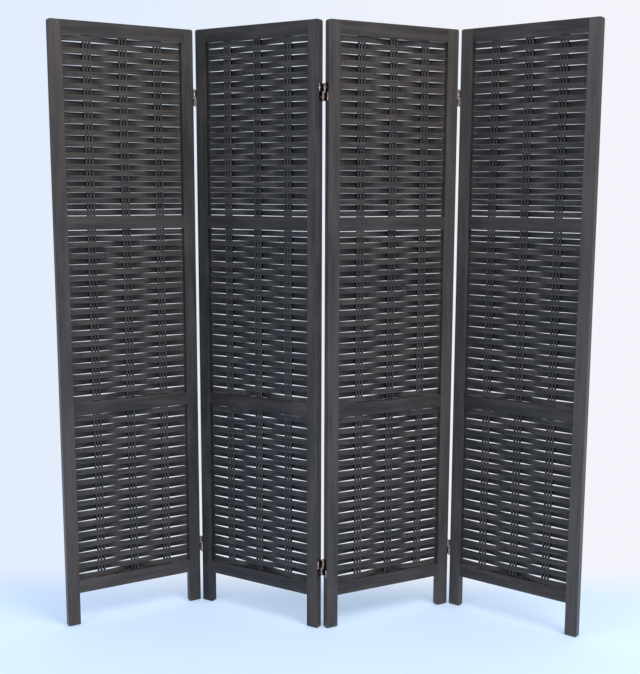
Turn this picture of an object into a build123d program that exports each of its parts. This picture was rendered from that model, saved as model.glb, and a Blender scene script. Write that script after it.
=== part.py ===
from build123d import *
from math import acos, cos, degrees, radians, sin, sqrt
import os

# A four-panel folding screen in dark bamboo: framed panels with woven strips, on crossed-strap hinges.
# Sizes are in millimetres and angles in degrees. X runs to the right, Y to the rear and Z up.
# The origin is on the floor, in the middle of the screen as it stands in its zigzag.

# Panels
panel_height = 1800
panel_width = 440
panel_thickness = 22
leg_height = 101
stile_width = 38
rail_height = 40
rail_setback = 0.5
foot_chamfer = 3

# Direction of each panel, seen from above, counted from the X axis
panel_angles = [31.1, -31.4, 28.1, -36.7]

# Groove along each stile's inner edge, which holds the rails' tongues and the ends of the strips
groove_depth = 10
groove_width = 4.5
tongue_clearance = 0.1
end_clearance = 0.5

# Stakes that the strips are woven round, in groups
stake_size = 7
stakes_in_group = 3
stake_pitch = 9.5
group_spacing = 108
stake_seat = 6
stake_clearance = 0.2

# Woven strips
strip_rows = 31
strip_gap = 1.7
strip_thickness = 1.8
weave_clearance = 0.2

# Hinges
hinge_heights = [190, 1600]
hinge_height = 50
leaf_thickness = 1.2
leaf_side_clearance = 0.5
barrel_radius = 2.5
barrel_nose_turn = 60
barrel_clearance = 0.3
pivot_proud = 1
strap_thickness = 1.2
strap_spare = 0.7
ear_thickness = 1.2
ear_lip = 1.5

# Sizes that follow from those above
rail_count = 4
field_height = (panel_height - leg_height - rail_count * rail_height) / (rail_count - 1)
opening_width = panel_width - 2 * stile_width
rail_thickness = panel_thickness - 2 * rail_setback
tongue_length = groove_depth - end_clearance
tongue_thickness = groove_width - 2 * tongue_clearance
group_half = (stakes_in_group - 1) / 2 * stake_pitch + stake_size / 2
strip_height = (field_height - (strip_rows + 1) * strip_gap) / strip_rows
strip_pitch = strip_height + strip_gap

# Height of a strip's wave: its straight runs clear the outer stakes of a group
stake_reach = stake_size / 2 + strip_thickness / 2 + weave_clearance
wave_height = stake_reach / (1 - 2 * group_half / group_spacing)

# The four pivots of a fold: two on each panel's edge, a strap's length apart across the fold
pivot_reach = panel_thickness / 2 + pivot_proud
pivot_offset = barrel_radius + barrel_clearance
strap_length = 2 * pivot_reach + strap_spare


def direction(angle):
    """A level unit vector at an angle from the X axis."""
    return Vector(cos(radians(angle)), sin(radians(angle)), 0)


def pivot_spread(turn):
    """How far apart the two panels' pivot lines stand, for the angle that the fold turns through."""
    return sqrt(strap_length**2 - (2 * pivot_reach * cos(radians(turn) / 2)) ** 2)


# Middle of each panel's left edge, worked out from fold to fold
starts = [Vector(0, 0, 0)]
for left_angle, right_angle in zip(panel_angles, panel_angles[1:]):
    left_pivots = starts[-1] + direction(left_angle) * (panel_width + pivot_offset)
    middle_angle = (left_angle + right_angle) / 2
    right_pivots = left_pivots + direction(middle_angle) * pivot_spread(right_angle - left_angle)
    starts.append(right_pivots + direction(right_angle) * pivot_offset)

# Middle of the plan: the panels' corners and the barrels of the hinges reach furthest
reach_x = []
reach_y = []
for number, (start, angle) in enumerate(zip(starts, panel_angles)):
    along = direction(angle)
    across = direction(angle + 90)
    for end in (0, panel_width):
        for side in (-1, 1):
            corner = start + along * end + across * (side * panel_thickness / 2)
            reach_x.append(corner.X)
            reach_y.append(corner.Y)
    if number > 0:
        for side in (-1, 1):
            pivot = start - along * pivot_offset + across * (side * pivot_reach)
            reach_y += [pivot.Y - barrel_radius, pivot.Y + barrel_radius]
    if number < len(starts) - 1:
        for side in (-1, 1):
            pivot = start + along * (panel_width + pivot_offset) + across * (side * pivot_reach)
            reach_y += [pivot.Y - barrel_radius, pivot.Y + barrel_radius]
middle = Vector((min(reach_x) + max(reach_x)) / 2, (min(reach_y) + max(reach_y)) / 2, 0)

# Each panel's own floor plane: local X along the panel, local Y to its rear
floors = []
for start, angle in zip(starts, panel_angles):
    floors.append(Plane(origin=start - middle, x_dir=direction(angle), z_dir=(0, 0, 1)))

os.makedirs("parts", exist_ok=True)


def save(part, name):
    """Name a finished piece and write it."""
    part.label = name
    export_step(part, f"parts/{name}.step")


def make_stile(floor, edge, inward):
    """An upright with eased feet and a groove; inward is 1 where the opening lies to its right."""
    with BuildPart() as stile:
        with BuildSketch(floor):
            with Locations((edge + inward * stile_width / 2, 0)):
                Rectangle(stile_width, panel_thickness)
        extrude(amount=panel_height)
        chamfer(stile.faces().sort_by(Axis.Z)[0].edges(), foot_chamfer)
        with BuildSketch(floor.offset(leg_height)):
            with Locations((edge + inward * (stile_width - groove_depth / 2), 0)):
                Rectangle(groove_depth, groove_width)
        extrude(amount=panel_height - leg_height, mode=Mode.SUBTRACT)
    return stile.part


def make_rail(floor, base, field_above, field_below):
    """A rail with a tongue at each end, and a groove for the stakes on each side that has a field."""
    groove_run = 2 * (group_spacing + group_half + stake_clearance)
    groove_across = stake_size + 2 * stake_clearance
    with BuildPart() as rail:
        with BuildSketch(floor.offset(base)):
            with Locations((panel_width / 2, 0)):
                Rectangle(opening_width, rail_thickness)
                Rectangle(opening_width + 2 * tongue_length, tongue_thickness)
        extrude(amount=rail_height)
        if field_above:
            with BuildSketch(floor.offset(base + rail_height - stake_seat)):
                with Locations((panel_width / 2, 0)):
                    Rectangle(groove_run, groove_across)
            extrude(amount=stake_seat, mode=Mode.SUBTRACT)
        if field_below:
            with BuildSketch(floor.offset(base)):
                with Locations((panel_width / 2, 0)):
                    Rectangle(groove_run, groove_across)
            extrude(amount=stake_seat, mode=Mode.SUBTRACT)
    return rail.part


def make_stakes(floor):
    """The upright stakes of a panel's three fields, in three groups."""
    with BuildPart() as stakes:
        for field in range(rail_count - 1):
            base = leg_height + rail_height + field * (rail_height + field_height)
            foot = base - stake_seat + end_clearance
            with BuildSketch(floor.offset(foot)):
                for group in (-1, 0, 1):
                    with Locations((panel_width / 2 + group * group_spacing, 0)):
                        with GridLocations(stake_pitch, 0, stakes_in_group, 1):
                            Rectangle(stake_size, stake_size)
        extrude(amount=field_height + 2 * (stake_seat - end_clearance))
    return stakes.part


def make_weave(floor, base):
    """The strips of one field, which pass the groups of stakes in front and behind by turns."""
    # A strip thins towards its ends, which are shaved to slip into the stiles' grooves
    left = stile_width - groove_depth + end_clearance
    centre = panel_width / 2
    turns = [centre - group_spacing, centre, centre + group_spacing]
    waves = [-1, 1, -1]
    with BuildPart() as weave:
        for row in range(strip_rows):
            foot = base + strip_gap + row * strip_pitch
            # The topmost strip passes in front of the outer groups
            phase = 1 if (strip_rows - 1 - row) % 2 == 0 else -1
            bends = [(x, phase * wave * wave_height) for x, wave in zip(turns, waves)]
            front = [(x, y - strip_thickness / 2) for x, y in bends]
            rear = [(x, y + strip_thickness / 2) for x, y in reversed(bends)]
            with BuildSketch(floor.offset(foot)):
                with BuildLine():
                    Polyline((left, 0), *front, (panel_width - left, 0), *rear, close=True)
                make_face()
        extrude(amount=strip_height)
    return weave.part


def make_leaves(edge):
    """One leaf for each hinge of a panel's edge; local X points out of the edge."""
    sheet_width = 2 * (pivot_reach - barrel_radius - leaf_side_clearance)
    ear_out = pivot_offset + ear_lip
    ear_side = pivot_reach + ear_lip - (sheet_width / 2 - leaf_thickness)
    with BuildPart() as leaves:
        for height in hinge_heights:
            with BuildSketch(edge.offset(height - hinge_height / 2)):
                with Locations((leaf_thickness / 2, 0)):
                    Rectangle(leaf_thickness, sheet_width)
            extrude(amount=hinge_height)
            for half in (1, -1):
                for level in (barrel_clearance + ear_thickness, hinge_height / 2):
                    ear_base = height + half * level - (ear_thickness if half > 0 else 0)
                    side = -half * (pivot_reach + ear_lip - ear_side / 2)
                    with BuildSketch(edge.offset(ear_base)):
                        with Locations((ear_out / 2, side)):
                            Rectangle(ear_out, ear_side)
                    extrude(amount=ear_thickness)
    return leaves.part


def make_straps(left_pivot, right_pivot, half):
    """One crossed strap for each hinge of a fold, with a barrel on each of its two pivots."""
    shift = ear_thickness + 2 * barrel_clearance
    length = hinge_height / 2 - shift - ear_thickness - barrel_clearance
    across = right_pivot - left_pivot
    plan = Plane(origin=(left_pivot + right_pivot) / 2, x_dir=across, z_dir=(0, 0, 1))
    # The outline of a strap and its two barrels, each round at its nose
    half_length = strap_length / 2
    half_thickness = strap_thickness / 2
    neck = half_length - barrel_radius
    right_start = -barrel_nose_turn / 2
    left_start = 180 - barrel_nose_turn / 2
    right_side = [(half_length, barrel_radius), (neck, half_thickness)]
    left_side = [(-x, y) for x, y in reversed(right_side)]
    below = [(-x, -y) for x, y in right_side + left_side]
    with BuildPart() as straps:
        for height in hinge_heights:
            foot = height + shift if half > 0 else height - shift - length
            with BuildSketch(plan.offset(foot)):
                with BuildLine():
                    right_nose = CenterArc((half_length, 0), barrel_radius, right_start, barrel_nose_turn)
                    left_nose = CenterArc((-half_length, 0), barrel_radius, left_start, barrel_nose_turn)
                    Polyline(right_nose @ 1, *right_side, *left_side, left_nose @ 0)
                    Polyline(left_nose @ 1, *below, right_nose @ 0)
                make_face()
        extrude(amount=length)
    return straps.part


# The frames, stakes and weave of each panel
for number, floor in enumerate(floors, start=1):
    save(make_stile(floor, 0, 1), f"panel_{number}_left_stile")
    save(make_stile(floor, panel_width, -1), f"panel_{number}_right_stile")
    for place, name in enumerate(("bottom", "lower", "upper", "top")):
        base = leg_height + place * (rail_height + field_height)
        rail = make_rail(floor, base, place < rail_count - 1, place > 0)
        save(rail, f"panel_{number}_{name}_rail")
    save(make_stakes(floor), f"panel_{number}_stakes")
    for place, name in enumerate(("lower", "middle", "upper")):
        base = leg_height + rail_height + place * (rail_height + field_height)
        save(make_weave(floor, base), f"panel_{number}_{name}_weave")

# The hinges of each fold
for number in range(1, len(floors)):
    left_floor = floors[number - 1]
    right_floor = floors[number]
    left_end = left_floor.origin + left_floor.x_dir * panel_width
    left_edge = Plane(origin=left_end, x_dir=left_floor.x_dir, z_dir=(0, 0, 1))
    right_edge = Plane(origin=right_floor.origin, x_dir=right_floor.x_dir * -1, z_dir=(0, 0, 1))
    left_front = left_edge.from_local_coords((pivot_offset, -pivot_reach, 0))
    left_rear = left_edge.from_local_coords((pivot_offset, pivot_reach, 0))
    right_rear = right_edge.from_local_coords((pivot_offset, -pivot_reach, 0))
    right_front = right_edge.from_local_coords((pivot_offset, pivot_reach, 0))
    save(make_leaves(left_edge), f"fold_{number}_left_leaves")
    save(make_leaves(right_edge), f"fold_{number}_right_leaves")
    save(make_straps(left_front, right_rear, 1), f"fold_{number}_upper_straps")
    save(make_straps(left_rear, right_front, -1), f"fold_{number}_lower_straps")

# Pivots and angles of each fold, for whoever sets up its joints
for number in range(1, len(floors)):
    turn = panel_angles[number] - panel_angles[number - 1]
    swing = degrees(acos(2 * pivot_reach / strap_length * cos(radians(turn) / 2)))
    near_lean = swing - abs(turn) / 2
    far_lean = swing + abs(turn) / 2
    print(f"fold {number}: turned {turn:.2f}, straps lean {near_lean:.3f} and {far_lean:.3f}")
print(f"strip {strip_height:.2f} high, wave {wave_height:.2f}, field {field_height:.1f}")
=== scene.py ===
from math import cos, pi, radians
from random import Random

import bpy
from mathutils import Matrix, Vector


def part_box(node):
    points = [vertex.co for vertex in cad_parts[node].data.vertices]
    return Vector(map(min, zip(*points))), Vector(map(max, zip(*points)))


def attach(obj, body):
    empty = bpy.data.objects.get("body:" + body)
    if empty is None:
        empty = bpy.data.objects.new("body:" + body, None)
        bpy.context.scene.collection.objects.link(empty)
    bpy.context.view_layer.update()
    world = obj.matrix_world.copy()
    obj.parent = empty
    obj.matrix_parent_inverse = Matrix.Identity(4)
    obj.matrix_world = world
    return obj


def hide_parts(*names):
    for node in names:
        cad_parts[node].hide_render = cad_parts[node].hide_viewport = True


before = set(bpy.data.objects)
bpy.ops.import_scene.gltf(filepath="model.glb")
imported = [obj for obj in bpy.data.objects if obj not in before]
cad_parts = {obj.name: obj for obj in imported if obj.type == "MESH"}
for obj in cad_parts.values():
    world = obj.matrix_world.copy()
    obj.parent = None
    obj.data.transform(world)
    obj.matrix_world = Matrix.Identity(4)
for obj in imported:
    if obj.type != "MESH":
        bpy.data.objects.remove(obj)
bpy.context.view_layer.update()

# Looks of a four-panel folding screen in dark bamboo: stained frames, round rods, smooth woven
# strips and brass hinges. Lengths are in metres, in the same frame as the solids.

bl_info = {
    "name": "Bamboo folding screen",
    "version": (1, 0, 0),
    "blender": (4, 5, 0),
    "location": "View3D > Sidebar > Bamboo screen",
    "description": "Dresses the solids of a folding screen: frames, rods, weave, hinges and studio",
    "category": "Object",
}

PANELS = (1, 2, 3, 4)
FOLDS = (1, 2, 3)
SIDES = ("left", "right")
RAILS = ("bottom", "lower", "upper", "top")
FIELDS = ("lower", "middle", "upper")

# Corners nearer than the first distance are merged; within the second, two count as one place
MERGE_DISTANCE = 1e-5
SAME_PLACE = 2e-4

# A panel's axes that run along, across and through the wood of upright and of level pieces
UPRIGHT_GRAIN = (2, 0, 1)
LEVEL_GRAIN = (0, 2, 1)

# Painted light and shade as light falls on each panel: its left and right stile, rails and strips
STILE_PAINTED_LIGHT = {1: (0.68, 0.28), 2: (0.0, 0.36), 3: (0.60, 0.80), 4: (0.56, 0.82)}
RAIL_PAINTED_LIGHT = {1: 0.28, 2: -0.12, 3: 0.18, 4: 0.08}
STRIP_PAINTED_LIGHT = {1: 0.42, 2: -0.25, 3: 0.30, 4: 0.12}

# Rods: heights of the two rings of each kind as shares of a rod's length, and half a ring's height
RING_SHARES = ((0.22, 0.71), (0.38, 0.86))
HALF_RING = 0.002

# Strips: the last bend before an end, half the distance between the bamboo's nodes, and how much
# strips differ in height, in lean (degrees) and in the depth of their wave
STRIP_SHOULDER = 0.0115
HALF_NODE_SPACING = 0.14
HEIGHT_PLAY = 0.00015
LEAN_PLAY = 0.025
WAVE_PLAY = (0.94, 1.05)

# Hinges: turned pieces as heights and radii, a screw's height above a leaf's middle, how far a
# leaf's face stands out from the panel's edge, and the rounding of the sheet metal's edges
PIN_HEAD = ((0, 0.0019), (0.0005, 0.0019), (0.0009, 0.0014), (0.0011, 0.0006))
SCREW_HEAD = ((0, 0.0027), (0.0002, 0.0027), (0.0004, 0.0022), (0.00041, 0.0010), (0.0001, 0.0007))
SCREW_HEIGHT = 0.014
LEAF_FACE = 0.0012
LEAF_EASE = 0.00018
STRAP_EASE = 0.00015

# Studio: the floor's side, its fade before and behind its far edge, its darker clouds and its own
# glow; the lamps' names, places and colours; how much the backdrop lights from below, and how
# much more from above; the camera's place, turns (degrees) and shifts
FLOOR_SIZE = 30
FLOOR_FADE = (0.10, 0.25)
CLOUD_SHADE = 0.93
FLOOR_GLOW = 0.335
LAMPS = (
    ("right light", (2.2, -2.3, 4.1), (1.0, 0.95, 0.90)),
    ("left light", (-2.9, -2.4, 2.9), (0.90, 0.95, 1.0)),
)
LAMP_SIZE = 2.2
LAMP_AIM = (0, 0, 0.9)
SKY_LOW, SKY_RISE = 0.26, 0.60
EYE = (0.0237, -3.1914, 1.3365)
EYE_YAW, EYE_DOWN, EYE_ROLL = 0.281, 8.869, 0.21
EYE_SHIFTS = (-0.0061, 0.0233)
SENSOR_WIDTH = 36


# The panels' own frames and openings, from the solids


def middle_of(node):
    """The middle of a solid's box."""
    low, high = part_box(node)
    return (low + high) / 2


def panel_place(number):
    """Matrix of a panel's own frame: X along it from its middle, Y to its rear, Z up."""
    left = middle_of(f"panel_{number}_left_stile")
    right = middle_of(f"panel_{number}_right_stile")
    along = Vector((right.x - left.x, right.y - left.y, 0)).normalized()
    turned = Matrix((along, (-along.y, along.x, 0), (0, 0, 1))).transposed().to_4x4()
    centre = (left + right) / 2
    return Matrix.Translation((centre.x, centre.y, 0)) @ turned


places = {number: panel_place(number) for number in PANELS}


def clear_height(field, number):
    """Lowest and highest point of the opening that a field fills, between two rails."""
    index = FIELDS.index(field)
    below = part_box(f"panel_{number}_{RAILS[index]}_rail")[1].z
    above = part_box(f"panel_{number}_{RAILS[index + 1]}_rail")[0].z
    return below, above


# What a user would change


class ScreenSizes(bpy.types.PropertyGroup):
    """Sizes of the dressed pieces."""

    edge_ease: bpy.props.FloatProperty(
        name="Eased edges", description="Rounding along the frame's edges",
        default=0.0010, unit="LENGTH",
    )
    corner_ease: bpy.props.FloatProperty(
        name="Top corners", description="Rounding of a panel's top corners",
        default=0.006, unit="LENGTH",
    )
    rod_diameter: bpy.props.FloatProperty(
        name="Rods", description="Thickness of the upright rods", default=0.0074, unit="LENGTH"
    )
    rod_pitch: bpy.props.FloatProperty(
        name="Rod pitch", description="Distance between the rods of a group",
        default=0.0095, unit="LENGTH",
    )
    group_spacing: bpy.props.FloatProperty(
        name="Group spacing", description="Distance between the groups of rods",
        default=0.108, unit="LENGTH",
    )
    rod_seat: bpy.props.FloatProperty(
        name="Rod seat", description="How far a rod reaches into a rail",
        default=0.0052, unit="LENGTH",
    )
    strip_rows: bpy.props.IntProperty(
        name="Strips", description="Number of strips in a field", default=31, min=1
    )
    strip_gap: bpy.props.FloatProperty(
        name="Gap at the rails", description="Gap between a rail and the next strip",
        default=0.0019, unit="LENGTH",
    )
    strip_height: bpy.props.FloatProperty(
        name="Strip height", description="Height of a woven strip", default=0.01605, unit="LENGTH"
    )
    strip_thickness: bpy.props.FloatProperty(
        name="Strip thickness", description="Thickness of a woven strip",
        default=0.0017, unit="LENGTH",
    )
    strip_half_length: bpy.props.FloatProperty(
        name="Half a strip", description="From a panel's middle to a strip's end",
        default=0.1912, unit="LENGTH",
    )
    wave_height: bpy.props.FloatProperty(
        name="Wave", description="How far a strip swings to each side",
        default=0.0061, unit="LENGTH",
    )
    barrel_radius: bpy.props.FloatProperty(
        name="Barrels", description="Radius of a hinge's barrels", default=0.0025, unit="LENGTH"
    )
    pivot_out: bpy.props.FloatProperty(
        name="Pivots beyond the edge", description="From a panel's edge to its pivots",
        default=0.0028, unit="LENGTH",
    )
    pivot_side: bpy.props.FloatProperty(
        name="Pivots beside the middle", description="From a panel's middle plane to its pivots",
        default=0.012, unit="LENGTH",
    )


class ScreenFinish(bpy.types.PropertyGroup):
    """Colours of the screen."""

    frame_dark: bpy.props.FloatVectorProperty(
        name="Frame, dark", description="Darkest grain of the frame",
        default=(0.016, 0.0142, 0.0142), subtype="COLOR", min=0, max=1,
    )
    frame_light: bpy.props.FloatVectorProperty(
        name="Frame, light", description="Lightest grain of the frame",
        default=(0.088, 0.071, 0.063), subtype="COLOR", min=0, max=1,
    )
    strip_brown: bpy.props.FloatVectorProperty(
        name="Strips, brown", description="Warm tint of the strips", default=(0.050, 0.040, 0.034),
        subtype="COLOR", min=0, max=1,
    )
    strip_blue: bpy.props.FloatVectorProperty(
        name="Strips, blue", description="Cool tint of the strips", default=(0.019, 0.0195, 0.023),
        subtype="COLOR", min=0, max=1,
    )
    rod_dark: bpy.props.FloatVectorProperty(
        name="Rods, dark", description="Darkest grain of the rods", default=(0.024, 0.021, 0.020),
        subtype="COLOR", min=0, max=1,
    )
    rod_light: bpy.props.FloatVectorProperty(
        name="Rods, light", description="Lightest grain of the rods",
        default=(0.070, 0.060, 0.054), subtype="COLOR", min=0, max=1,
    )
    brass: bpy.props.FloatVectorProperty(
        name="Barrels", description="Bright metal of the barrels and pins",
        default=(0.82, 0.60, 0.52), subtype="COLOR", min=0, max=1,
    )
    bronze: bpy.props.FloatVectorProperty(
        name="Leaves", description="Darkened metal of the leaves and straps",
        default=(0.085, 0.052, 0.042), subtype="COLOR", min=0, max=1,
    )
    tarnish: bpy.props.FloatVectorProperty(
        name="Tarnish", description="Dulled metal of the hinges", default=(0.16, 0.075, 0.055),
        subtype="COLOR", min=0, max=1,
    )


class ScreenStudio(bpy.types.PropertyGroup):
    """Floor, backdrop, lights and lens."""

    floor: bpy.props.FloatVectorProperty(
        name="Floor", description="Colour of the floor", default=(0.62, 0.76, 0.95),
        subtype="COLOR", min=0, max=1,
    )
    backdrop_left: bpy.props.FloatVectorProperty(
        name="Backdrop, left", description="Colour of the backdrop's left side",
        default=(0.77, 0.85, 0.98), subtype="COLOR", min=0, max=1,
    )
    backdrop_right: bpy.props.FloatVectorProperty(
        name="Backdrop, right", description="Colour of the backdrop's right side",
        default=(0.90, 0.905, 0.965), subtype="COLOR", min=0, max=1,
    )
    floor_end: bpy.props.FloatProperty(
        name="Floor's far edge", description="Where the floor meets the backdrop",
        default=0.21, unit="LENGTH",
    )
    right_power: bpy.props.FloatProperty(
        name="Right light", description="Power of the large light at the right",
        default=105, unit="POWER",
    )
    left_power: bpy.props.FloatProperty(
        name="Left light", description="Power of the large light at the left",
        default=30, unit="POWER",
    )
    lens: bpy.props.FloatProperty(
        name="Lens", description="Focal length of the camera in millimetres", default=57.02
    )


# Work on meshes


def alone(piece):
    """Select one object and nothing else."""
    bpy.ops.object.select_all(action="DESELECT")
    piece.select_set(True)
    bpy.context.view_layer.objects.active = piece


def tidy_normals(piece):
    """Make a closed mesh's faces point outwards."""
    alone(piece)
    bpy.ops.object.mode_set(mode="EDIT")
    bpy.ops.mesh.select_all(action="SELECT")
    bpy.ops.mesh.normals_make_consistent(inside=False)
    bpy.ops.object.mode_set(mode="OBJECT")


def copy_of(node, name):
    """A merged copy of a solid, ready to be worked on."""
    piece = bpy.data.objects.new(name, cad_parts[node].data.copy())
    piece.data.name = name
    piece.data.materials.clear()
    bpy.context.scene.collection.objects.link(piece)
    alone(piece)
    bpy.ops.mesh.customdata_custom_splitnormals_clear()
    bpy.ops.object.mode_set(mode="EDIT")
    bpy.ops.mesh.select_all(action="SELECT")
    bpy.ops.mesh.remove_doubles(threshold=MERGE_DISTANCE)
    bpy.ops.object.mode_set(mode="OBJECT")
    return piece


def pick_edges(piece, wanted):
    """Select the edges whose two ends both pass a test, and leave the piece in edit mode."""
    alone(piece)
    bpy.ops.object.mode_set(mode="EDIT")
    bpy.ops.mesh.select_mode(type="EDGE")
    bpy.ops.mesh.select_all(action="DESELECT")
    bpy.ops.object.mode_set(mode="OBJECT")
    corners = piece.data.vertices
    for edge in piece.data.edges:
        edge.select = all(wanted(corners[index].co) for index in edge.vertices)
    bpy.ops.object.mode_set(mode="EDIT")


def ease_edges(piece, width, segments):
    """Round a piece's sharp edges a little, with its flat faces still flat."""
    alone(piece)
    bevel = piece.modifiers.new("eased edges", "BEVEL")
    bevel.width = width
    bevel.segments = segments
    bevel.limit_method = "ANGLE"
    bevel.angle_limit = radians(40)
    bpy.ops.object.modifier_apply(modifier=bevel.name)
    bpy.ops.object.shade_smooth_by_angle(angle=radians(15))


def turned(name, sides, rings):
    """A piece as from a lathe, along Z: each ring is a height and a radius, in order."""
    bpy.ops.object.select_all(action="DESELECT")
    height, radius = rings[0]
    bpy.ops.mesh.primitive_circle_add(
        vertices=sides, radius=radius, fill_type="NGON", location=(0, 0, height)
    )
    piece = bpy.context.object
    piece.name = name
    bpy.ops.object.mode_set(mode="EDIT")
    for next_height, next_radius in rings[1:]:
        rise = (0, 0, next_height - height)
        bpy.ops.mesh.extrude_region_move(TRANSFORM_OT_translate={"value": rise})
        factor = next_radius / radius
        bpy.ops.transform.resize(value=(factor, factor, 1), center_override=(0, 0, next_height))
        height, radius = next_height, next_radius
    bpy.ops.object.mode_set(mode="OBJECT")
    bpy.ops.object.transform_apply(location=True, rotation=True, scale=True)
    tidy_normals(piece)
    return piece


def drawn(name, thickness, height, path):
    """A flat strip of one section, drawn along a level path of points."""
    bpy.ops.object.select_all(action="DESELECT")
    x, y = path[0]
    bpy.ops.mesh.primitive_plane_add(size=1, location=(x, y, 0), rotation=(0, pi / 2, 0))
    piece = bpy.context.object
    piece.name = name
    bpy.ops.object.mode_set(mode="EDIT")
    bpy.ops.transform.resize(value=(1, thickness, height), center_override=(x, y, 0))
    for next_x, next_y in path[1:]:
        step = (next_x - x, next_y - y, 0)
        bpy.ops.mesh.extrude_region_move(TRANSFORM_OT_translate={"value": step})
        x, y = next_x, next_y
    bpy.ops.object.mode_set(mode="OBJECT")
    bpy.ops.object.transform_apply(location=True, rotation=True, scale=True)
    tidy_normals(piece)
    return piece


def placed_copy(template, matrix):
    """A copy of a template with its own mesh, moved to its place."""
    copy = bpy.data.objects.new(template.name, template.data.copy())
    copy.data.transform(matrix)
    bpy.context.scene.collection.objects.link(copy)
    return copy


def join(name, pieces):
    """Make several meshes one piece."""
    bpy.ops.object.select_all(action="DESELECT")
    for piece in pieces:
        piece.select_set(True)
    bpy.context.view_layer.objects.active = pieces[0]
    bpy.ops.object.join()
    joined = bpy.context.object
    joined.name = name
    joined.data.name = name
    return joined


def remove(*templates):
    """Take templates out of the scene once their copies are placed."""
    for template in templates:
        bpy.data.objects.remove(template)


def lay_grain(piece, to_own, axes, shift, tint):
    """Store how far each point lies along, across and through its wood, and the wood's tint.

    to_own takes a point to its panel's own frame, and axes are that frame's axes in this order.
    On stiles, rails and strips the tint also carries painted light.
    """
    mesh = piece.data
    grain = []
    for corner in mesh.vertices:
        place = to_own @ corner.co
        along, across, through = (place[axis] for axis in axes)
        grain += [along + shift, across, through + shift]
    mesh.attributes.new("grain", "FLOAT_VECTOR", "POINT").data.foreach_set("vector", grain)
    tints = [tint] * len(mesh.vertices)
    mesh.attributes.new("tint", "FLOAT", "POINT").data.foreach_set("value", tints)


def lay_relief(strip):
    """Store how far a woven strip's two faces stand out of the weave, each to its own side, for the
    painted shade of the faces that lie back.
    """
    mesh = strip.data
    proud = [0.0] * len(mesh.loops)
    for face in mesh.polygons:
        side = round(face.normal.y)
        for loop in face.loop_indices:
            corner = mesh.vertices[mesh.loops[loop].vertex_index]
            proud[loop] = side * corner.co.y
    mesh.attributes.new("proud", "FLOAT", "CORNER").data.foreach_set("value", proud)


def paint(piece, material):
    """Give a mesh its one material."""
    piece.data.materials.clear()
    piece.data.materials.append(material)


def dress(piece, body, slot, *nodes):
    """Give a finished piece its body and hide the solids that it stands for."""
    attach(piece, body)
    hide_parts(*nodes)


# Materials, with shader maths written as expressions


class Level:
    """An output socket that takes part in sums, products and differences."""

    def __init__(self, desk, socket):
        self.desk = desk
        self.socket = socket

    def maths(self, operation, first, second):
        return self.desk.add("ShaderNodeMath", {"operation": operation}, {0: first, 1: second})

    def __add__(self, other):
        return self.maths("ADD", self, other)

    def __radd__(self, other):
        return self.maths("ADD", other, self)

    def __sub__(self, other):
        return self.maths("SUBTRACT", self, other)

    def __rsub__(self, other):
        return self.maths("SUBTRACT", other, self)

    def __mul__(self, other):
        return self.maths("MULTIPLY", self, other)

    def __rmul__(self, other):
        return self.maths("MULTIPLY", other, self)


class Desk:
    """The nodes of a material or of the surround, with one method that adds any of them."""

    def __init__(self, owner, shader):
        owner.use_nodes = True
        self.tree = owner.node_tree
        self.shader = self.tree.nodes[shader]

    def add(self, kind, settings=None, sockets=None, output=0):
        """Add a node: its settings first, then the values or links of its sockets."""
        node = self.tree.nodes.new(kind)
        for key, value in (settings or {}).items():
            setattr(node, key, value)
        for key, value in (sockets or {}).items():
            if isinstance(value, Level):
                self.tree.links.new(value.socket, node.inputs[key])
            else:
                node.inputs[key].default_value = value
        return Level(self, node.outputs[output])

    def from_eye(self, coordinates, eye):
        """How far to the right a place lies, seen from the camera's place."""
        sockets = {0: coordinates, 1: eye}
        offset = self.add("ShaderNodeVectorMath", {"operation": "SUBTRACT"}, sockets)
        ray = self.add("ShaderNodeVectorMath", {"operation": "NORMALIZE"}, {0: offset})
        return self.parts(ray)[0]

    def parts(self, vector):
        """A vector's three parts, each as a level."""
        first = self.add("ShaderNodeSeparateXYZ", {}, {0: vector})
        return [Level(self, socket) for socket in first.socket.node.outputs]

    def stored(self, name, output):
        """A value that the mesh stores."""
        return self.add("ShaderNodeAttribute", {"attribute_name": name}, output=output)

    def noise(self, vector, factors, detail, distortion=0.0):
        """Soft noise, drawn out by a factor for each axis."""
        sockets = {0: vector, 1: factors}
        stretched = self.add("ShaderNodeVectorMath", {"operation": "MULTIPLY"}, sockets)
        sockets = {"Vector": stretched, "Scale": 1.0, "Detail": detail, "Distortion": distortion}
        return self.add("ShaderNodeTexNoise", {"noise_dimensions": "3D"}, sockets)

    def between(self, value, low, high):
        """0 below low, 1 above high, and a smooth step between them."""
        return self.add(
            "ShaderNodeMapRange",
            {"interpolation_type": "SMOOTHSTEP"},
            {"Value": value, "From Min": low, "From Max": high},
        )

    def blend(self, factor, first, second):
        """One colour passing into another."""
        colours = {0: factor, 6: as_colour(first), 7: as_colour(second)}
        return self.add("ShaderNodeMix", {"data_type": "RGBA"}, colours, output=2)

    def bump(self, height, strength, distance):
        """Relief from a height."""
        sockets = {"Height": height, "Strength": strength, "Distance": distance}
        return self.add("ShaderNodeBump", {}, sockets)

    def set_shader(self, **sockets):
        """Feed the surface's own sockets; an underscore in a name stands for a space."""
        for key, value in sockets.items():
            socket = self.shader.inputs[key.replace("_", " ")]
            if isinstance(value, Level):
                self.tree.links.new(value.socket, socket)
            else:
                socket.default_value = value


def as_colour(value):
    """A property's colour with its alpha, or a link as it is."""
    return value if isinstance(value, Level) else (*value, 1.0)


def new_desk(name):
    """A new material and its nodes."""
    material = bpy.data.materials.new(name)
    return material, Desk(material, "Principled BSDF")


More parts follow.
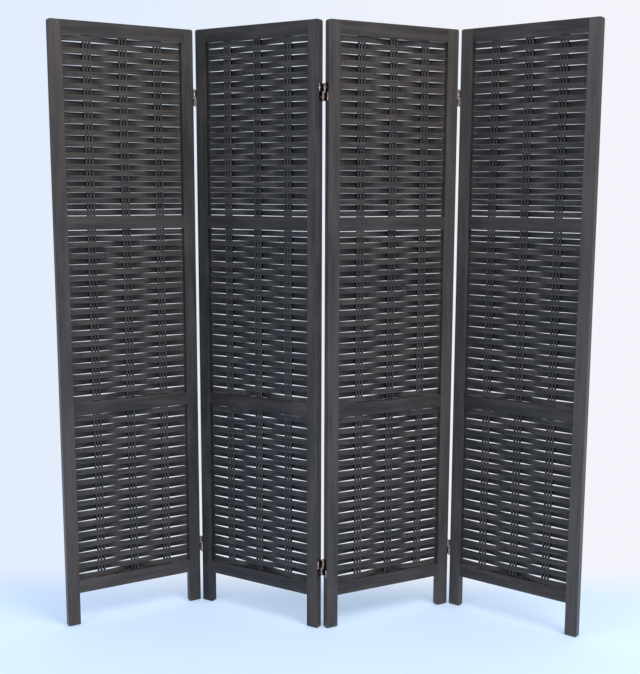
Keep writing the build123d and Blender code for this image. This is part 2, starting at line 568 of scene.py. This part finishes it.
def stained_wood(name, dark, light):
    """Close straight grain under a dark satin stain."""
    # Noise is drawn out along the grain: its first factor is small, the others large
    material, desk = new_desk(name)
    grain = desk.stored("grain", "Vector")
    tint = desk.stored("tint", "Fac")
    broad = desk.noise(grain, (4.0, 55.0, 55.0), 4.0, 0.5)
    fine = desk.noise(grain, (26.0, 620.0, 620.0), 3.0)
    pores = desk.between(desk.noise(grain, (60.0, 1500.0, 1500.0), 2.0), 0.62, 0.78)
    # The stored tint lightens the figure: a random tone, and on stiles and rails also painted light
    figure = desk.between(broad * 0.55 + fine * 0.35 + tint * 0.30, 0.36, 0.84)
    colour = desk.blend(figure, dark, light)
    patches = desk.between(desk.noise(grain, (7.0, 9.0, 9.0), 2.0), 0.45, 0.75)
    colour = desk.blend(patches * 0.35, colour, light)
    colour = desk.blend(pores * 0.6, colour, dark)
    desk.set_shader(
        Base_Color=colour,
        Roughness=0.50 - figure * 0.10 + pores * 0.15,
        Normal=desk.bump(fine * 0.6 - pores * 0.5, 0.35, 0.0004),
        Specular_IOR_Level=0.40,
    )
    return material


def split_bamboo(name, brown, blue, half_height, wave_height):
    """Smooth stained strips: streaks, worn edges, node rings, and painted shade where the strips
    lie back in the weave.
    """
    material, desk = new_desk(name)
    grain = desk.stored("grain", "Vector")
    tint = desk.stored("tint", "Fac")
    along, across, _ = desk.parts(grain)
    streaks = desk.noise(grain, (14.0, 900.0, 900.0), 3.0)
    bands = desk.noise(grain, (8.0, 240.0, 240.0), 2.0)
    patches = desk.noise(grain, (11.0, 40.0, 300.0), 2.0)
    # The stored tint carries each panel's painted light and a random tone: more tint means warmer
    # and lighter
    warmth = desk.between(patches * 0.7 + tint * 0.5, 0.40, 0.80)
    colour = desk.blend(warmth, blue, brown)
    pale = tuple(min(1.0, 2.1 * part) for part in brown)
    colour = desk.blend(desk.between(streaks, 0.52, 0.80) * 0.45, colour, pale)
    colour = desk.blend(desk.between(bands, 0.50, 0.70) * 0.55, colour, pale)
    dark = tuple(0.4 * part for part in blue)
    colour = desk.blend(desk.between(bands, 0.48, 0.30) * 0.55, colour, dark)
    distance = desk.add("ShaderNodeMath", {"operation": "ABSOLUTE"}, {0: across})
    worn = desk.between(distance, half_height * 0.72, half_height)
    colour = desk.blend(worn * 0.5, colour, pale)
    sockets = {0: along + tint * 0.3, 1: HALF_NODE_SPACING}
    from_node = desk.add("ShaderNodeMath", {"operation": "PINGPONG"}, sockets)
    ring = 1.0 - desk.between(from_node, 0.0006, 0.0022)
    colour = desk.blend(ring * 0.7, colour, tuple(0.35 * part for part in blue))
    # Painted shade: faces that lie back beside the rods are darkened as if shadowed by the strips
    # in front
    proud = desk.stored("proud", "Fac")
    raised = desk.between(proud, -0.95 * wave_height, 0.35 * wave_height)
    colour = desk.blend((1.0 - raised) * 0.80, colour, tuple(0.15 * part for part in blue))
    desk.set_shader(
        Base_Color=colour,
        Roughness=0.46 + streaks * 0.12 - worn * 0.06,
        Normal=desk.bump(streaks * 0.6 + ring, 0.35, 0.0004),
        Specular_IOR_Level=0.40,
    )
    return material


def plated_metal(name, clean, tarnish):
    """Satin plated metal, a little dulled."""
    material, desk = new_desk(name)
    coordinates = desk.add("ShaderNodeTexCoord", output="Object")
    cloud = desk.noise(coordinates, (170.0, 170.0, 90.0), 3.0)
    brushed = desk.noise(coordinates, (2600.0, 2600.0, 180.0), 2.0)
    dull = desk.between(cloud, 0.50, 0.72)
    desk.set_shader(
        Base_Color=desk.blend(dull * 0.75, clean, tarnish),
        Roughness=0.24 + dull * 0.22 + brushed * 0.08,
        Metallic=1.0,
        Normal=desk.bump(brushed, 0.15, 0.0001),
    )
    return material


# The pieces


class BAMBOO_SCREEN_OT_uprights(bpy.types.Operator):
    """Stiles of the panels, with rounded top corners and eased edges"""

    bl_idname = "bamboo_screen.uprights"
    bl_label = "Stiles"

    def execute(self, context):
        sizes, finish = context.scene.screen_sizes, context.scene.screen_finish
        wood = stained_wood("stile wood", finish.frame_dark, finish.frame_light)
        draw = Random(11)
        for number in PANELS:
            to_panel = places[number].inverted()
            # Painted light: each stile is made lighter or darker as the light falls on it
            for side, shade in zip(SIDES, STILE_PAINTED_LIGHT[number]):
                node = f"panel_{number}_{side}_stile"
                piece = copy_of(node, f"panel_{number}_{side}_upright")
                # Flat faces lose their triangles first, so that the corner's bevel comes out even
                bpy.ops.object.mode_set(mode="EDIT")
                bpy.ops.mesh.select_all(action="SELECT")
                bpy.ops.mesh.dissolve_limited(angle_limit=radians(0.5))
                bpy.ops.object.mode_set(mode="OBJECT")
                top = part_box(node)[1].z
                outer = max(abs((to_panel @ corner.co).x) for corner in piece.data.vertices)

                def at_top_corner(co):
                    outside = abs((to_panel @ co).x) > outer - SAME_PLACE
                    return outside and co.z > top - SAME_PLACE

                pick_edges(piece, at_top_corner)
                bpy.ops.mesh.bevel(offset=sizes.corner_ease, segments=4)
                bpy.ops.object.mode_set(mode="OBJECT")
                ease_edges(piece, sizes.edge_ease, 2)
                lay_grain(piece, to_panel, UPRIGHT_GRAIN, draw.uniform(1, 9), shade)
                paint(piece, wood)
                dress(piece, f"panel_{number}", "frame", node)
        return {"FINISHED"}


class BAMBOO_SCREEN_OT_rails(bpy.types.Operator):
    """Rails between the stiles, with eased edges"""

    bl_idname = "bamboo_screen.rails"
    bl_label = "Rails"

    def execute(self, context):
        sizes, finish = context.scene.screen_sizes, context.scene.screen_finish
        wood = stained_wood("rail wood", finish.frame_dark, finish.frame_light)
        draw = Random(23)
        for number in PANELS:
            to_panel = places[number].inverted()
            for rail in RAILS:
                node = f"panel_{number}_{rail}_rail"
                piece = copy_of(node, f"panel_{number}_{rail}_crossbar")
                ease_edges(piece, sizes.edge_ease, 2)
                shift = draw.uniform(1, 9)
                # Painted light for each panel, with a random share of the rails' own tone
                shade = RAIL_PAINTED_LIGHT[number] + draw.uniform(0, 0.3)
                lay_grain(piece, to_panel, LEVEL_GRAIN, shift, shade)
                paint(piece, wood)
                dress(piece, f"panel_{number}", "frame", node)
        return {"FINISHED"}


class BAMBOO_SCREEN_OT_rods(bpy.types.Operator):
    """Round bamboo rods that the strips are woven round, three to a group"""

    bl_idname = "bamboo_screen.rods"
    bl_label = "Rods"

    def execute(self, context):
        sizes, finish = context.scene.screen_sizes, context.scene.screen_finish
        wood = stained_wood("rod bamboo", finish.rod_dark, finish.rod_light)
        below, above = clear_height("lower", 1)
        length = above - below + 2 * sizes.rod_seat
        radius = sizes.rod_diameter / 2
        templates = []
        for shares in RING_SHARES:
            rings = [(0, radius)]
            for share in shares:
                rings += [
                    (share * length - HALF_RING, radius * 0.97),
                    (share * length, radius * 1.07),
                    (share * length + HALF_RING, radius * 0.98),
                ]
            rings.append((length, radius))
            template = turned("rod", 8, rings)
            bpy.ops.object.shade_smooth_by_angle(angle=radians(60))
            templates.append(template)
        draw = Random(5)
        for number in PANELS:
            rods = []
            for field in FIELDS:
                foot = clear_height(field, number)[0] - sizes.rod_seat
                for group in (-1, 0, 1):
                    for row in (-1, 0, 1):
                        x = group * sizes.group_spacing + row * sizes.rod_pitch
                        spot = Matrix.Translation((x, 0, foot))
                        spin = Matrix.Rotation(draw.uniform(0, 2 * pi), 4, "Z")
                        rod = placed_copy(draw.choice(templates), spot @ spin)
                        lay_grain(rod, Matrix(), UPRIGHT_GRAIN, draw.uniform(1, 9), draw.random())
                        rods.append(rod)
            piece = join(f"panel_{number}_rods", rods)
            piece.data.transform(places[number])
            paint(piece, wood)
            dress(piece, f"panel_{number}", "stakes", f"panel_{number}_stakes")
        remove(*templates)
        return {"FINISHED"}


class BAMBOO_SCREEN_OT_weave(bpy.types.Operator):
    """Flat strips that pass in front of and behind the groups of rods by turns"""

    bl_idname = "bamboo_screen.weave"
    bl_label = "Woven strips"

    def execute(self, context):
        sizes, finish = context.scene.screen_sizes, context.scene.screen_finish
        half_height = sizes.strip_height / 2
        wood = split_bamboo(
            "strip bamboo", finish.strip_brown, finish.strip_blue, half_height, sizes.wave_height
        )
        templates = {}
        for turn in (1, -1):
            path = [(x, turn * self.swing(x, sizes)) for x in self.stations(sizes)]
            strip = drawn("strip", sizes.strip_thickness, sizes.strip_height, path)
            bpy.ops.object.shade_smooth_by_angle(angle=radians(30))
            lay_relief(strip)
            templates[turn] = strip
        draw = Random(41)
        for number in PANELS:
            for field in FIELDS:
                below, above = clear_height(field, number)
                strips = []
                for row, foot in enumerate(self.feet(below, above, sizes)):
                    turn = 1 if (sizes.strip_rows - 1 - row) % 2 == 0 else -1
                    height = foot + half_height + draw.uniform(-HEIGHT_PLAY, HEIGHT_PLAY)
                    lean = Matrix.Rotation(radians(draw.uniform(-LEAN_PLAY, LEAN_PLAY)), 4, "Y")
                    deepen = Matrix.Diagonal((1, draw.uniform(*WAVE_PLAY), 1, 1))
                    strip = placed_copy(templates[turn], lean @ deepen)
                    # Painted light for each panel, with a random share of the strips' own tone
                    tint = STRIP_PAINTED_LIGHT[number] + 0.6 * draw.random()
                    lay_grain(strip, Matrix(), LEVEL_GRAIN, draw.uniform(1, 90), tint)
                    strip.data.transform(Matrix.Translation((0, 0, height)))
                    strips.append(strip)
                piece = join(f"panel_{number}_{field}_strips", strips)
                piece.data.transform(places[number])
                paint(piece, wood)
                dress(piece, f"panel_{number}", "weave", f"panel_{number}_{field}_weave")
        remove(*templates.values())
        return {"FINISHED"}

    def feet(self, below, above, sizes):
        """Lower edges of the strips, which lie close together and looser next to the rails."""
        rows = sizes.strip_rows
        loose = [sizes.strip_gap * share for share in (1, 0.65, 0.3)]
        spare = above - below - rows * sizes.strip_height - 2 * sum(loose)
        inner = rows + 1 - 2 * len(loose)
        gaps = [*loose, *[spare / inner] * inner, *reversed(loose)]
        return [below + sum(gaps[: row + 1]) + row * sizes.strip_height for row in range(rows)]

    def stations(self, sizes):
        """Where a strip's path has its points: four to a group spacing, and the ends."""
        quarter = sizes.group_spacing / 4
        inner = [step * quarter for step in range(-6, 7)]
        end = sizes.strip_half_length
        shoulder = end - STRIP_SHOULDER
        return [-end, -shoulder, *inner, shoulder, end]

    def swing(self, x, sizes):
        """How far a strip lies from the middle plane: round the rods, then into the grooves."""
        spacing = sizes.group_spacing
        if abs(x) <= spacing:
            return sizes.wave_height * cos(pi * x / spacing)
        share = (abs(x) - spacing) / (sizes.strip_half_length - spacing)
        return -sizes.wave_height * cos(pi / 2 * share)


def stile_half_width(number):
    """Half the width of a panel's stiles, from the left one's box and the panel's turn."""
    low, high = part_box(f"panel_{number}_left_stile")
    along = places[number].to_3x3() @ Vector((1, 0, 0))
    across = places[number].to_3x3() @ Vector((0, 1, 0))
    span = high - low
    box_of = Matrix(((abs(along.x), abs(across.x)), (abs(along.y), abs(across.y))))
    width, _ = box_of.inverted() @ Vector((span.x, span.y))
    return width / 2


def pivot_point(number, side, front, sizes):
    """A pivot beside a panel's edge, at floor level; front is -1 for the front one, else 1."""
    left = middle_of(f"panel_{number}_left_stile")
    right = middle_of(f"panel_{number}_right_stile")
    half_width = (right - left).length / 2 + stile_half_width(number)
    x = (half_width + sizes.pivot_out) * (1 if side == "right" else -1)
    return places[number] @ Vector((x, front * sizes.pivot_side, 0))


def levels_of(node):
    """The heights at which a solid has corners, from the lowest up."""
    return sorted({round(corner.co.z, 5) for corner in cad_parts[node].data.vertices})


def hinge_heights(fold):
    """The middle heights of a fold's low and high hinge, and half a hinge's height."""
    levels = levels_of(f"fold_{fold}_left_leaves")
    middle = (levels[0] + levels[-1]) / 2
    lower = [level for level in levels if level < middle]
    upper = [level for level in levels if level > middle]
    return (lower[0] + lower[-1]) / 2, (upper[0] + upper[-1]) / 2, (lower[-1] - lower[0]) / 2


class BAMBOO_SCREEN_OT_hinge_leaves(bpy.types.Operator):
    """Hinge leaves on the panels' edges, with screws and the domed ends of the pins"""

    bl_idname = "bamboo_screen.hinge_leaves"
    bl_label = "Hinge leaves"

    def execute(self, context):
        sizes, finish = context.scene.screen_sizes, context.scene.screen_finish
        bronze = plated_metal("leaf bronze", finish.bronze, finish.tarnish)
        brass = plated_metal("pin brass", finish.brass, finish.tarnish)
        head = turned("pin head", 14, PIN_HEAD)
        bpy.ops.object.shade_smooth_by_angle(angle=radians(50))
        paint(head, brass)
        screw = turned("screw", 14, SCREW_HEAD)
        bpy.ops.object.shade_smooth_by_angle(angle=radians(30))
        paint(screw, brass)
        for fold in FOLDS:
            low, high, half_height = hinge_heights(fold)
            for side, number in (("left", fold), ("right", fold + 1)):
                node = f"fold_{fold}_{side}_leaves"
                leaves = copy_of(node, f"fold_{fold}_{side}_hinge_leaves")
                ease_edges(leaves, LEAF_EASE, 1)
                paint(leaves, bronze)
                edge = "right" if side == "left" else "left"
                outward = 1 if edge == "right" else -1
                to_edge = Vector((-outward * (sizes.pivot_out - LEAF_FACE), 0, 0))
                inward = places[number].to_3x3() @ to_edge
                facing = places[number].to_3x3().to_4x4()
                facing @= Matrix.Rotation(outward * pi / 2, 4, "Y")
                details = [leaves]
                for middle in (low, high):
                    for end in (1, -1):
                        # Upper pins: front of the left panel, rear of the right one
                        front = -end if side == "left" else end
                        spot = pivot_point(number, edge, front, sizes)
                        spot.z = middle + end * half_height
                        flip = Matrix.Identity(4) if end == 1 else Matrix.Rotation(pi, 4, "X")
                        details.append(placed_copy(head, Matrix.Translation(spot) @ flip))
                    face = pivot_point(number, edge, 0, sizes)
                    for end in (1, -1):
                        spot = face + inward + Vector((0, 0, middle + end * SCREW_HEIGHT))
                        details.append(placed_copy(screw, Matrix.Translation(spot) @ facing))
                piece = join(f"fold_{fold}_{side}_hinge_leaves", details)
                dress(piece, f"panel_{number}", "hinge_metal", node)
        remove(head, screw)
        return {"FINISHED"}


class BAMBOO_SCREEN_OT_hinge_straps(bpy.types.Operator):
    """Crossed straps of the hinges, with a round barrel on each pivot"""

    bl_idname = "bamboo_screen.hinge_straps"
    bl_label = "Hinge straps"

    def execute(self, context):
        sizes, finish = context.scene.screen_sizes, context.scene.screen_finish
        bronze = plated_metal("strap bronze", finish.bronze, finish.tarnish)
        brass = plated_metal("barrel brass", finish.brass, finish.tarnish)
        for fold in FOLDS:
            # Upper straps: front of the left panel to rear of the right one; lower ones cross them
            for level, left_side, right_side in (("upper", -1, 1), ("lower", 1, -1)):
                node = f"fold_{fold}_{level}_straps"
                heights = levels_of(node)
                length = heights[1] - heights[0]
                barrel = turned("barrel", 18, self.barrel_rings(length, sizes.barrel_radius))
                bpy.ops.object.shade_smooth_by_angle(angle=radians(40))
                paint(barrel, brass)
                straps = copy_of(node, f"fold_{fold}_{level}_hinge_straps")
                ease_edges(straps, STRAP_EASE, 1)
                paint(straps, bronze)
                details = [straps]
                for foot in (heights[0], heights[2]):
                    for spot in (
                        pivot_point(fold, "right", left_side, sizes),
                        pivot_point(fold + 1, "left", right_side, sizes),
                    ):
                        spot.z = foot
                        details.append(placed_copy(barrel, Matrix.Translation(spot)))
                piece = join(f"fold_{fold}_{level}_hinge_straps", details)
                dress(piece, f"fold_{fold}_{level}_straps", "hinge_metal", node)
                remove(barrel)
        return {"FINISHED"}

    def barrel_rings(self, length, radius):
        """A rolled barrel's rings: eased ends, and a fine line round its middle."""
        full = radius - 0.00002
        return [
            (0, radius - 0.0004), (0.0003, full),
            (length * 0.49, full), (length * 0.5, radius - 0.0002), (length * 0.51, full),
            (length - 0.0003, full), (length, radius - 0.0004),
        ]


class BAMBOO_SCREEN_OT_studio(bpy.types.Operator):
    """Pale floor and backdrop, soft light, and the camera"""

    bl_idname = "bamboo_screen.studio"
    bl_label = "Studio"

    def execute(self, context):
        studio = context.scene.screen_studio
        self.lay_floor(studio)
        self.light(context, studio)
        self.place_camera(context, studio)
        return {"FINISHED"}

    def lay_floor(self, studio):
        """A wide level sheet: a pale floor that passes into a plain backdrop behind the screen."""
        bpy.ops.object.select_all(action="DESELECT")
        bpy.ops.mesh.primitive_plane_add(size=FLOOR_SIZE)
        floor = bpy.context.object
        floor.name = "floor"
        material, desk = new_desk("pale floor")
        coordinates = desk.add("ShaderNodeTexCoord", output="Object")
        depth = desk.parts(coordinates)[1]
        before, beyond = FLOOR_FADE
        behind = desk.between(depth, studio.floor_end - before, studio.floor_end + beyond)
        cloud = desk.noise(coordinates, (0.9, 0.9, 0.9), 2.0)
        darker = tuple(CLOUD_SHADE * part for part in studio.floor)
        pale = desk.blend(cloud, darker, studio.floor)
        glow = tuple(FLOOR_GLOW * part for part in studio.floor)
        backdrop = self.backdrop(desk, desk.from_eye(coordinates, EYE), studio)
        desk.set_shader(
            Base_Color=desk.blend(behind, pale, (0.0, 0.0, 0.0)),
            Roughness=0.55,
            Specular_IOR_Level=0.0,
            Emission_Color=desk.blend(behind, glow, backdrop),
            Emission_Strength=1.0,
        )
        floor.data.materials.append(material)

    def backdrop(self, desk, sideways, studio):
        """The backdrop's colour, from its left side to its right."""
        share = desk.between(sideways, -0.25, 0.25)
        return desk.blend(share, studio.backdrop_left, studio.backdrop_right)

    def light(self, context, studio):
        """A bright backdrop all round that lights mostly from above, and two large soft lights."""
        world = bpy.data.worlds.new("studio")
        desk = Desk(world, "Background")
        direction = desk.add("ShaderNodeTexCoord", output="Generated")
        sideways, _, upward = desk.parts(direction)
        seen = desk.add("ShaderNodeLightPath", output="Is Camera Ray")
        colour = self.backdrop(desk, sideways, studio)
        lighting = SKY_LOW + SKY_RISE * desk.between(upward, -0.1, 0.95)
        desk.set_shader(Color=colour, Strength=seen + (1.0 - seen) * lighting)
        context.scene.world = world
        powers = (studio.right_power, studio.left_power)
        for (name, spot, colour), power in zip(LAMPS, powers):
            lamp = bpy.data.lights.new(name, "AREA")
            lamp.shape = "SQUARE"
            lamp.size = LAMP_SIZE
            lamp.energy = power
            lamp.color = colour
            holder = bpy.data.objects.new(name, lamp)
            holder.location = spot
            aim = Vector(LAMP_AIM) - holder.location
            holder.rotation_euler = aim.to_track_quat("-Z", "Y").to_euler()
            context.scene.collection.objects.link(holder)

    def place_camera(self, context, studio):
        """The photograph's view: from a little above the middle, looking slightly down."""
        eye = bpy.data.cameras.new("camera")
        eye.lens = studio.lens
        eye.sensor_width = SENSOR_WIDTH
        eye.shift_x, eye.shift_y = EYE_SHIFTS
        holder = bpy.data.objects.new("camera", eye)
        yaw = Matrix.Rotation(radians(EYE_YAW), 4, "Z")
        pitch = Matrix.Rotation(radians(90 - EYE_DOWN), 4, "X")
        roll = Matrix.Rotation(radians(EYE_ROLL), 4, "Z")
        holder.matrix_world = Matrix.Translation(EYE) @ yaw @ pitch @ roll
        context.scene.collection.objects.link(holder)
        context.scene.camera = holder
        context.scene.view_settings.view_transform = "Standard"


class VIEW3D_PT_bamboo_screen(bpy.types.Panel):
    """Buttons for the pieces, in the order in which they are made"""

    bl_label = "Bamboo screen"
    bl_idname = "VIEW3D_PT_bamboo_screen"
    bl_space_type = "VIEW_3D"
    bl_region_type = "UI"
    bl_category = "Bamboo screen"

    def draw(self, context):
        column = self.layout.column()
        scene = context.scene
        for group in (scene.screen_sizes, scene.screen_finish, scene.screen_studio):
            for name in group.__annotations__:
                column.prop(group, name)
        for operator in OPERATORS:
            column.operator(operator.bl_idname)


OPERATORS = (
    BAMBOO_SCREEN_OT_uprights,
    BAMBOO_SCREEN_OT_rails,
    BAMBOO_SCREEN_OT_rods,
    BAMBOO_SCREEN_OT_weave,
    BAMBOO_SCREEN_OT_hinge_leaves,
    BAMBOO_SCREEN_OT_hinge_straps,
    BAMBOO_SCREEN_OT_studio,
)
CLASSES = (ScreenSizes, ScreenFinish, ScreenStudio, *OPERATORS, VIEW3D_PT_bamboo_screen)


def register():
    for kind in CLASSES:
        bpy.utils.register_class(kind)
    bpy.types.Scene.screen_sizes = bpy.props.PointerProperty(type=ScreenSizes)
    bpy.types.Scene.screen_finish = bpy.props.PointerProperty(type=ScreenFinish)
    bpy.types.Scene.screen_studio = bpy.props.PointerProperty(type=ScreenStudio)


def unregister():
    del bpy.types.Scene.screen_studio
    del bpy.types.Scene.screen_finish
    del bpy.types.Scene.screen_sizes
    for kind in reversed(CLASSES):
        bpy.utils.unregister_class(kind)


def main():
    register()
    bpy.ops.bamboo_screen.uprights()
    bpy.ops.bamboo_screen.rails()
    bpy.ops.bamboo_screen.rods()
    bpy.ops.bamboo_screen.weave()
    bpy.ops.bamboo_screen.hinge_leaves()
    bpy.ops.bamboo_screen.hinge_straps()
    bpy.ops.bamboo_screen.studio()


if __name__ == "__main__":
    main()
